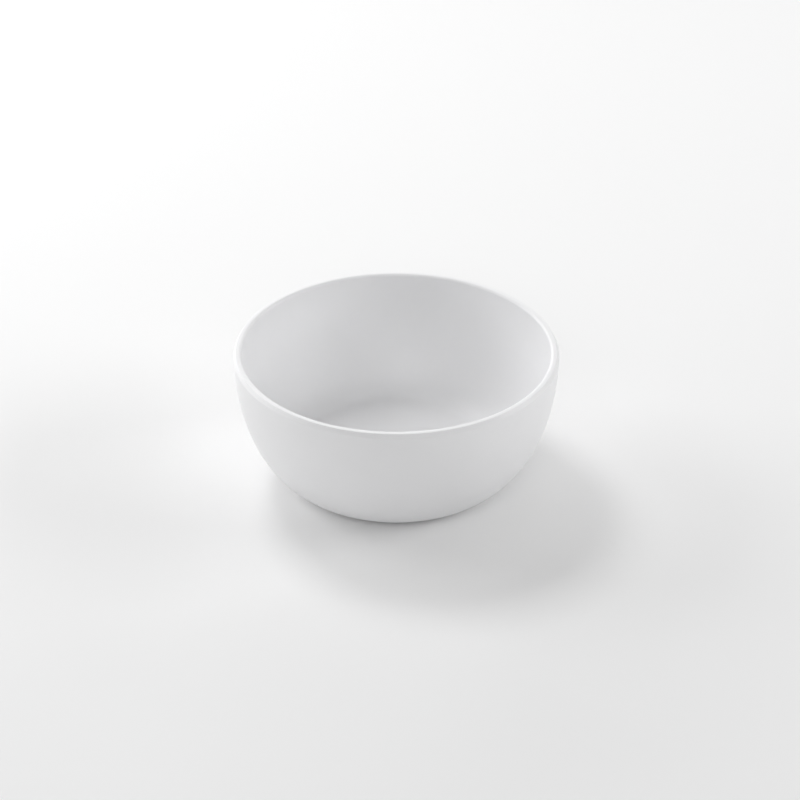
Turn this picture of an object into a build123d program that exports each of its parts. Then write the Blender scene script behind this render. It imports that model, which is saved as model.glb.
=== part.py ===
from build123d import *
import math
import os

# Shaving bowl, in millimetres. The origin is on the surface that the bowl stands on, under its
# centre. +Z points up through the mouth, and every piece is a body of revolution about Z.

# ---- driving dimensions: the bowl as a whole ----
OUTER_RADIUS = 60.0          # the widest line, at the bottom edge of the rim band
HEIGHT = 52.0                # table to the top of the rim

# ---- rim: rounded inside, a narrow flat land on top, then a sloping band with a crisp edge ----
MOUTH_RADIUS = 56.8          # the upright inside wall at the rim
MOUTH_ROUND = 1.1            # rounding from the inside wall to the land
LAND_OUTER_RADIUS = 59.1     # outer edge of the land
BAND_DROP = 1.6              # height of the sloping band
BAND_STEP = 0.25             # how far the band stands proud of the wall under it
BAND_UNDERCUT = 0.15         # height of the little return under the band

# ---- outer wall: a quarter of an ellipse, cut off by the foot ----
WALL_CENTRE_RADIUS = 32.2    # where the ellipse's axis stands
WALL_SEMI_HEIGHT = 50.1

# ---- inside: a quarter of an ellipse that runs smoothly into a flat floor ----
FLOOR_RADIUS = 36.0
FLOOR_HEIGHT = 7.8           # the floor above the table
INSIDE_TOP = 50.8            # height at which the inside wall is upright

# ---- foot ring and the recess inside it ----
FOOT_HEIGHT = 0.7            # the moulded foot stands this far above the table
RECESS_RADIUS = 28.6
RECESS_ROOF = 4.3            # height of the recess's roof above the table
RECESS_TAPER = 0.5           # draft of the recess's wall over its height
RECESS_ROUND = 2.0
FOOT_EDGE_ROUND = 0.4

# ---- sprue mark in the middle of the recess ----
GATE_RADIUS = 3.0
GATE_DEPTH = 0.5

# ---- non-slip ring and the groove that holds it ----
GROOVE_INNER_RADIUS = 30.6
GROOVE_OUTER_RADIUS = 33.6
GROOVE_DEPTH = 1.4
RING_SIDE_GAP = 0.05         # the ring is this much narrower than its groove on each side
RING_EDGE_CHAMFER = 0.25

MATCH = 0.01                 # how near an edge has to be to the radius and height asked for


def revolved(outline):
    """One solid of revolution about Z, from a closed outline drawn in the XZ plane."""
    return revolve(Plane.XZ * make_face(outline), axis=Axis.Z)


def outer_wall():
    """The outside of the wall, from just under the rim band down to the foot's flat."""
    semi_width = OUTER_RADIUS - BAND_STEP - WALL_CENTRE_RADIUS
    top = HEIGHT - BAND_DROP - BAND_UNDERCUT
    foot_angle = math.degrees(math.asin((top - FOOT_HEIGHT) / WALL_SEMI_HEIGHT))
    return EllipticalCenterArc(
        (WALL_CENTRE_RADIUS, top), semi_width, WALL_SEMI_HEIGHT, arc_size=-foot_angle)


def inside_wall():
    """The inside of the wall, upright at the rim and level where it meets the floor."""
    return EllipticalCenterArc(
        (FLOOR_RADIUS, INSIDE_TOP), MOUTH_RADIUS - FLOOR_RADIUS, INSIDE_TOP - FLOOR_HEIGHT,
        arc_size=-90)


def edges_at(shape, radius, height):
    """The circular edges of the shape at one radius and one height."""
    circles = shape.edges().filter_by(GeomType.CIRCLE)
    return [
        edge for edge in circles
        if abs(edge.radius - radius) < MATCH and abs(edge.position_at(0).Z - height) < MATCH
    ]


def bowl_body():
    """The moulded shell: wall, rim, floor and foot in one piece, with a groove for the ring."""
    outside = outer_wall()
    inside = inside_wall()
    rim = Polyline(
        outside @ 0,
        (OUTER_RADIUS, HEIGHT - BAND_DROP),
        (LAND_OUTER_RADIUS, HEIGHT),
        (MOUTH_RADIUS, HEIGHT),
        inside @ 0)
    underside = Polyline(
        inside @ 1,
        (0, FLOOR_HEIGHT),
        (0, RECESS_ROOF + GATE_DEPTH),
        (GATE_RADIUS, RECESS_ROOF + GATE_DEPTH),
        (GATE_RADIUS, RECESS_ROOF),
        (RECESS_RADIUS - RECESS_TAPER, RECESS_ROOF),
        (RECESS_RADIUS, FOOT_HEIGHT),
        (GROOVE_INNER_RADIUS, FOOT_HEIGHT),
        (GROOVE_INNER_RADIUS, FOOT_HEIGHT + GROOVE_DEPTH),
        (GROOVE_OUTER_RADIUS, FOOT_HEIGHT + GROOVE_DEPTH),
        (GROOVE_OUTER_RADIUS, FOOT_HEIGHT),
        outside @ 1)
    shell = revolved([outside, rim, inside, underside])
    shell = fillet(edges_at(shell, MOUTH_RADIUS, HEIGHT), MOUTH_ROUND)
    shell = fillet(edges_at(shell, RECESS_RADIUS - RECESS_TAPER, RECESS_ROOF), RECESS_ROUND)
    return fillet(edges_at(shell, RECESS_RADIUS, FOOT_HEIGHT), FOOT_EDGE_ROUND)


def non_slip_ring():
    """A soft ring seated on the roof of its groove. Its flat underside is what the bowl rests on."""
    inner = GROOVE_INNER_RADIUS + RING_SIDE_GAP
    outer = GROOVE_OUTER_RADIUS - RING_SIDE_GAP
    roof = FOOT_HEIGHT + GROOVE_DEPTH
    return revolved(Polyline(
        (inner + RING_EDGE_CHAMFER, 0),
        (outer - RING_EDGE_CHAMFER, 0),
        (outer, RING_EDGE_CHAMFER),
        (outer, roof),
        (inner, roof),
        (inner, RING_EDGE_CHAMFER),
        close=True))


PIECES = {
    "bowl_body": bowl_body,
    "non_slip_ring": non_slip_ring,
}

os.makedirs("parts", exist_ok=True)
for name, make in PIECES.items():
    export_step(make(), f"parts/{name}.step")
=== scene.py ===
import math

import bmesh
import bpy
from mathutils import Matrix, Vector


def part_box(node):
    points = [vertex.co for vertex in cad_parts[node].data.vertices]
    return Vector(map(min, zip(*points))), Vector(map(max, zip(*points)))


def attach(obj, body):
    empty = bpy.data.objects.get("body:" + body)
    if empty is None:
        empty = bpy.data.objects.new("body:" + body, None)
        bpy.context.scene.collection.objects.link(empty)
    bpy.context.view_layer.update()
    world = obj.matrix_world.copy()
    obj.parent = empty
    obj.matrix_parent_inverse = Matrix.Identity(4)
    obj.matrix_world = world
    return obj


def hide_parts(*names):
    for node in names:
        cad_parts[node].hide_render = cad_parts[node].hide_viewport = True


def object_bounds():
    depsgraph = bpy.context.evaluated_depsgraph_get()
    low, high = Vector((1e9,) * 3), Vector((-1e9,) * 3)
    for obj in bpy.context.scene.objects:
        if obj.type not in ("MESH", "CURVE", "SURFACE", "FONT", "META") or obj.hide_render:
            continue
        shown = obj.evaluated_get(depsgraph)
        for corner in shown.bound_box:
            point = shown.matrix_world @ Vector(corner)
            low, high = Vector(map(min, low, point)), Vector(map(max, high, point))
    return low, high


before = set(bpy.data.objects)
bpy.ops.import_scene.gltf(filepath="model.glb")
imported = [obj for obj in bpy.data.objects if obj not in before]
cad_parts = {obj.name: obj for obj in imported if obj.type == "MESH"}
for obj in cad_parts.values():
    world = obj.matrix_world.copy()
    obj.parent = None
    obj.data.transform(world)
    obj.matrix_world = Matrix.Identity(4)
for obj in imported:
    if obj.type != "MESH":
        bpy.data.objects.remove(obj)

cad_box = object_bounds()

MM = 0.001

# ---- the bowl, in millimetres; the same driving dimensions as the CAD, seated on its boxes ----
body_low, body_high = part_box("bowl_body")
ring_low, ring_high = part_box("non_slip_ring")
OUTER_RADIUS = 60.0
HEIGHT = body_high.z / MM
FOOT_HEIGHT = body_low.z / MM
MOUTH_RADIUS = 56.8
LAND_OUTER_RADIUS = 59.1
MOUTH_ROUND = 1.1
BAND_DROP = 1.6
BAND_STEP = 0.25
BAND_UNDERCUT = 0.15
WALL_CENTRE_RADIUS = 32.2
WALL_SEMI_HEIGHT = 50.1
FLOOR_RADIUS = 36.0
FLOOR_HEIGHT = 7.8
INSIDE_TOP = 50.8
RECESS_RADIUS = 28.6
RECESS_ROOF = 4.3
RECESS_TAPER = 0.5
RECESS_ROUND = 2.0
GATE_RADIUS = 3.0
GATE_DEPTH = 0.5
GROOVE_INNER_RADIUS = 30.6
GROOVE_OUTER_RADIUS = 33.6
GROOVE_ROOF = ring_high.z / MM

# ---- how far the edges are rounded, in millimetres from the corner ----
LAND_EDGE_ROUND = 0.2
BAND_EDGE_ROUND = 0.1
FOOT_EDGE_ROUND = 0.4
RING_EDGE_ROUND = 0.35

# ---- how finely the round pieces are made ----
SEGMENTS = 288               # faces round the bowl
WALL_STEPS = 64              # faces down each wall
MOUTH_STEPS = 8              # faces over the rounding at the mouth
CORNER_STEPS = 4             # faces over each small rounding
FLOOR_RINGS = 12             # rings of faces across the lathering floor
ON_AXIS = 1e-6               # a radius below this is a single point on the axis
SHARP_ANGLE = math.radians(30)


# =====================================================================================
# Profiles: lists of (radius, height) in millimetres
# =====================================================================================

def ellipse(centre_radius, top, semi_width, semi_height, start, end, steps):
    """Points on an ellipse; 0 degrees is its outermost point and 90 degrees is its lowest."""
    angles = [math.radians(start + (end - start) * i / steps) for i in range(steps + 1)]
    return [
        (centre_radius + semi_width * math.cos(a), top - semi_height * math.sin(a))
        for a in angles
    ]


def corner(before, at, after, size):
    """Points that round the corner at one point, starting and ending size millimetres from it."""
    b, c, a = Vector(before), Vector(at), Vector(after)
    start = c + (b - c).normalized() * size
    end = c + (a - c).normalized() * size
    points = []
    for i in range(CORNER_STEPS + 1):
        t = i / CORNER_STEPS
        points.append(tuple(start * (1 - t) ** 2 + c * 2 * t * (1 - t) + end * t ** 2))
    return points


def lathe(name, profile):
    """A closed smooth solid of revolution from a profile that starts and ends on the axis, or closes."""
    bm = bmesh.new()
    rows = []
    for radius, height in profile:
        if radius < ON_AXIS:
            rows.append([bm.verts.new((0, 0, height * MM))])
            continue
        rows.append([
            bm.verts.new((
                radius * MM * math.cos(2 * math.pi * i / SEGMENTS),
                radius * MM * math.sin(2 * math.pi * i / SEGMENTS),
                height * MM))
            for i in range(SEGMENTS)
        ])
    closed = len(rows[0]) > 1
    pairs = zip(rows, rows[1:] + rows[:1]) if closed else zip(rows, rows[1:])
    for low, high in pairs:
        for i in range(SEGMENTS):
            j = (i + 1) % SEGMENTS
            face = [low[i % len(low)], low[j % len(low)], high[j % len(high)], high[i % len(high)]]
            bm.faces.new(list(dict.fromkeys(face)))
    bmesh.ops.recalc_face_normals(bm, faces=bm.faces)
    for face in bm.faces:
        face.smooth = True
    mesh = bpy.data.meshes.new(name)
    bm.to_mesh(mesh)
    bm.free()
    mesh.set_sharp_from_angle(angle=SHARP_ANGLE)
    piece = bpy.data.objects.new(name, mesh)
    bpy.context.collection.objects.link(piece)
    return piece


def bowl_profile():
    """From the middle of the lathering floor, over the rim and down the outside, to the underside."""
    floor = [(FLOOR_RADIUS * i / FLOOR_RINGS, FLOOR_HEIGHT) for i in range(FLOOR_RINGS)]
    inside = ellipse(
        FLOOR_RADIUS, INSIDE_TOP, MOUTH_RADIUS - FLOOR_RADIUS, INSIDE_TOP - FLOOR_HEIGHT,
        90, 0, WALL_STEPS)
    top = HEIGHT - BAND_DROP - BAND_UNDERCUT
    semi_width = OUTER_RADIUS - BAND_STEP - WALL_CENTRE_RADIUS
    foot_angle = math.degrees(math.asin((top - FOOT_HEIGHT) / WALL_SEMI_HEIGHT))
    outside = ellipse(WALL_CENTRE_RADIUS, top, semi_width, WALL_SEMI_HEIGHT, 0, foot_angle, WALL_STEPS)
    mouth_edge = ellipse(
        MOUTH_RADIUS + MOUTH_ROUND, HEIGHT - MOUTH_ROUND, MOUTH_ROUND, MOUTH_ROUND,
        180, 270, MOUTH_STEPS)
    land_inner = (MOUTH_RADIUS, HEIGHT)
    land_outer = (LAND_OUTER_RADIUS, HEIGHT)
    band_foot = (OUTER_RADIUS, HEIGHT - BAND_DROP)
    rim = (
        mouth_edge
        + corner(land_inner, land_outer, band_foot, LAND_EDGE_ROUND)
        + corner(land_outer, band_foot, outside[0], BAND_EDGE_ROUND)
    )
    groove = [
        (GROOVE_OUTER_RADIUS, FOOT_HEIGHT),
        (GROOVE_OUTER_RADIUS, GROOVE_ROOF),
        (GROOVE_INNER_RADIUS, GROOVE_ROOF),
        (GROOVE_INNER_RADIUS, FOOT_HEIGHT),
    ]
    recess_foot = (RECESS_RADIUS, FOOT_HEIGHT)
    recess_top = (RECESS_RADIUS - RECESS_TAPER, RECESS_ROOF)
    recess = (
        corner(groove[-1], recess_foot, recess_top, FOOT_EDGE_ROUND)
        + corner(recess_foot, recess_top, (0, RECESS_ROOF), RECESS_ROUND)
    )
    gate_mark = [
        (GATE_RADIUS, RECESS_ROOF),
        (GATE_RADIUS, RECESS_ROOF + GATE_DEPTH),
        (0, RECESS_ROOF + GATE_DEPTH),
    ]
    return floor + inside + rim + outside + groove + recess + gate_mark


def ring_profile():
    """The ring's section: it fills its groove less a hair each side, and is rounded at its foot."""
    gap = GROOVE_OUTER_RADIUS - ring_high.x / MM
    inner = GROOVE_INNER_RADIUS + gap
    outer = GROOVE_OUTER_RADIUS - gap
    low = ring_low.z / MM
    inner_top, inner_foot = (inner, GROOVE_ROOF), (inner, low)
    outer_top, outer_foot = (outer, GROOVE_ROOF), (outer, low)
    return (
        [inner_top]
        + corner(inner_top, inner_foot, outer_foot, RING_EDGE_ROUND)
        + corner(inner_foot, outer_foot, outer_top, RING_EDGE_ROUND)
        + [outer_top]
    )


def make_bowl():
    """The moulded shell, which stands for the CAD's bowl_body."""
    piece = lathe("bowl", bowl_profile())
    piece.data.materials.append(plastic())
    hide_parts("bowl_body")
    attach(piece, "root")


def make_ring():
    """The soft ring in the foot, which stands for the CAD's non_slip_ring."""
    piece = lathe("foot_ring", ring_profile())
    piece.data.materials.append(silicone())
    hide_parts("non_slip_ring")
    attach(piece, "root")


# =====================================================================================
# Materials: noise scales count features per metre, and colours are linear
# =====================================================================================

PLASTIC_DULLER = (0.800, 0.800, 0.808, 1)
PLASTIC_WHITER = (0.830, 0.830, 0.838, 1)
PLASTIC_CLOUD_SCALE = 60.0
PLASTIC_GLOSS_SCALE = 350.0
PLASTIC_ROUGHNESS = (0.42, 0.50)
PLASTIC_GRAIN_SCALE = 2600.0
PLASTIC_GRAIN_STRENGTH = 0.12
PLASTIC_IOR = 1.5
PLASTIC_SPECULAR = 0.5

SILICONE_DUSTY = (0.52, 0.52, 0.53, 1)
SILICONE_PALE = (0.62, 0.62, 0.63, 1)
SILICONE_TINT_SCALE = 180.0
SILICONE_GLOSS_SCALE = 900.0
SILICONE_ROUGHNESS = (0.60, 0.75)
SILICONE_SKIN_SCALE = 3000.0
SILICONE_SKIN_STRENGTH = 0.25

GRAIN_DEPTH = 0.0001         # metres, for both bumps

PAPER_COLOUR = (0.85, 0.85, 0.85, 1)
PAPER_ROUGHNESS = 0.9
PAPER_SPECULAR = 0.05


def new_material(name):
    """A material, its node tree and its shader."""
    material = bpy.data.materials.new(name)
    material.use_nodes = True
    tree = material.node_tree
    return material, tree, tree.nodes["Principled BSDF"]


def noise(tree, scale, detail=2.0, roughness=0.5):
    """Noise from 0 to 1 in the object's own coordinates."""
    place = tree.nodes.new("ShaderNodeTexCoord")
    texture = tree.nodes.new("ShaderNodeTexNoise")
    texture.inputs["Scale"].default_value = scale
    texture.inputs["Detail"].default_value = detail
    texture.inputs["Roughness"].default_value = roughness
    tree.links.new(place.outputs["Object"], texture.inputs["Vector"])
    return texture.outputs["Fac"]


def tint(tree, shader, value, low, high):
    """Lets a 0 to 1 value mix the surface's colour from two."""
    ramp = tree.nodes.new("ShaderNodeValToRGB")
    ramp.color_ramp.elements[0].color = low
    ramp.color_ramp.elements[1].color = high
    tree.links.new(value, ramp.inputs["Fac"])
    tree.links.new(ramp.outputs["Color"], shader.inputs["Base Color"])


def roughen(tree, shader, value, low, high):
    """Lets a 0 to 1 value spread the surface's roughness over a range."""
    ramp = tree.nodes.new("ShaderNodeMapRange")
    ramp.inputs["To Min"].default_value = low
    ramp.inputs["To Max"].default_value = high
    tree.links.new(value, ramp.inputs["Value"])
    tree.links.new(ramp.outputs["Result"], shader.inputs["Roughness"])


def grain(tree, shader, value, strength):
    """Lets a 0 to 1 value raise a fine grain on the surface."""
    bump = tree.nodes.new("ShaderNodeBump")
    bump.inputs["Strength"].default_value = strength
    bump.inputs["Distance"].default_value = GRAIN_DEPTH
    tree.links.new(value, bump.inputs["Height"])
    tree.links.new(bump.outputs["Normal"], shader.inputs["Normal"])


def plastic():
    """Matte white moulding powder: a fine eggshell grain, faint clouding and a soft sheen."""
    material, tree, shader = new_material("matte_white_melamine")
    tint(tree, shader, noise(tree, PLASTIC_CLOUD_SCALE, detail=4.0), PLASTIC_DULLER, PLASTIC_WHITER)
    roughen(tree, shader, noise(tree, PLASTIC_GLOSS_SCALE, detail=3.0), *PLASTIC_ROUGHNESS)
    grain(
        tree, shader, noise(tree, PLASTIC_GRAIN_SCALE, detail=3.0, roughness=0.6),
        PLASTIC_GRAIN_STRENGTH)
    shader.inputs["IOR"].default_value = PLASTIC_IOR
    shader.inputs["Specular IOR Level"].default_value = PLASTIC_SPECULAR
    return material


def silicone():
    """Soft pale grey silicone with a dusty, slightly uneven surface."""
    material, tree, shader = new_material("pale_silicone")
    tint(tree, shader, noise(tree, SILICONE_TINT_SCALE, detail=3.0), SILICONE_DUSTY, SILICONE_PALE)
    roughen(tree, shader, noise(tree, SILICONE_GLOSS_SCALE), *SILICONE_ROUGHNESS)
    grain(tree, shader, noise(tree, SILICONE_SKIN_SCALE), SILICONE_SKIN_STRENGTH)
    return material


def paper():
    """The pale seamless floor."""
    material, _, shader = new_material("studio_floor")
    shader.inputs["Base Color"].default_value = PAPER_COLOUR
    shader.inputs["Roughness"].default_value = PAPER_ROUGHNESS
    shader.inputs["Specular IOR Level"].default_value = PAPER_SPECULAR
    return material


# =====================================================================================
# Studio: floor, light and camera, in metres
# =====================================================================================

FLOOR_SIZE = 6.0

LIGHTS = {
    # name: azimuth, elevation, distance, width, height, power
    "key": (32, 54, 1.2, 0.35, 0.35, 4.0),
    "top": (0, 80, 1.3, 0.8, 0.8, 1.0),
    "left": (65, 25, 1.3, 0.7, 0.6, 6.0),
    "left_low": (95, 14, 1.3, 0.9, 0.35, 1.8),
    "back": (20, 14, 2.5, 2.4, 0.8, 26.0),
    "back_right": (-40, 20, 1.4, 0.9, 0.5, 2.7),
    "right": (-90, 23, 1.4, 0.8, 0.6, 8.1),
    "front": (176, 36, 3.0, 2.0, 1.4, 24.0),
    "front_left": (132, 32, 1.4, 0.8, 0.6, 0.9),
}
WHITE = (1, 1, 1, 1)
AMBIENT = 0.15               # strength of the even surround

RIM_CENTRE = Vector((0, 0, HEIGHT * MM))
CAMERA_DISTANCE = 17 * OUTER_RADIUS * MM
CAMERA_ELEVATION = math.radians(30.23)
AIM_BELOW_RIM = math.radians(1.053)
AIM_RIGHT = 0.0013           # how far right of the rim's centre the camera aims
LENS = 124.9                 # focal length in millimetres
SENSOR_WIDTH = 36            # millimetres
CLIP_END = 50


def make_floor():
    """One wide plane, level with the ring's underside."""
    bm = bmesh.new()
    bmesh.ops.create_grid(bm, x_segments=1, y_segments=1, size=FLOOR_SIZE / 2)
    mesh = bpy.data.meshes.new("studio_floor")
    bm.to_mesh(mesh)
    bm.free()
    mesh.materials.append(paper())
    floor = bpy.data.objects.new("studio_floor", mesh)
    floor.location.z = cad_box[0].z
    bpy.context.collection.objects.link(floor)


def area_light(name, azimuth, elevation, distance, width, height, power):
    """A soft box aimed at the bowl. Azimuth 0 is behind the bowl and 90 is on its left."""
    data = bpy.data.lights.new(name, "AREA")
    data.shape = "RECTANGLE"
    data.size = width
    data.size_y = height
    data.energy = power
    a, e = math.radians(azimuth), math.radians(elevation)
    way = Vector((-math.sin(a) * math.cos(e), math.cos(a) * math.cos(e), math.sin(e)))
    light = bpy.data.objects.new(name, data)
    light.location = way * distance
    light.rotation_mode = "QUATERNION"
    light.rotation_quaternion = way.to_track_quat("Z", "Y")
    light.visible_camera = False
    bpy.context.collection.objects.link(light)


def make_lights():
    """Soft boxes round the bowl and an even pale surround."""
    for name, values in LIGHTS.items():
        area_light(name, *values)
    world = bpy.data.worlds.new("studio")
    world.use_nodes = True
    background = world.node_tree.nodes["Background"]
    background.inputs["Color"].default_value = WHITE
    background.inputs["Strength"].default_value = AMBIENT
    bpy.context.scene.world = world


def make_camera():
    """A long lens that looks down at the bowl, with the rim's centre a little above the middle."""
    data = bpy.data.cameras.new("camera")
    data.sensor_width = SENSOR_WIDTH
    data.lens = LENS
    data.clip_end = CLIP_END
    camera = bpy.data.objects.new("camera", data)
    e = CAMERA_ELEVATION
    camera.location = RIM_CENTRE + CAMERA_DISTANCE * Vector((0, -math.cos(e), math.sin(e)))
    pitch = e + AIM_BELOW_RIM
    turn = math.atan(AIM_RIGHT / CAMERA_DISTANCE)
    forward = Vector((math.sin(turn), math.cos(pitch), -math.sin(pitch)))
    camera.rotation_mode = "QUATERNION"
    camera.rotation_quaternion = (-forward).to_track_quat("Z", "Y")
    bpy.context.collection.objects.link(camera)
    bpy.context.scene.camera = camera


make_bowl()
make_ring()
make_floor()
make_lights()
make_camera()
bpy.context.scene.view_settings.view_transform = "Standard"
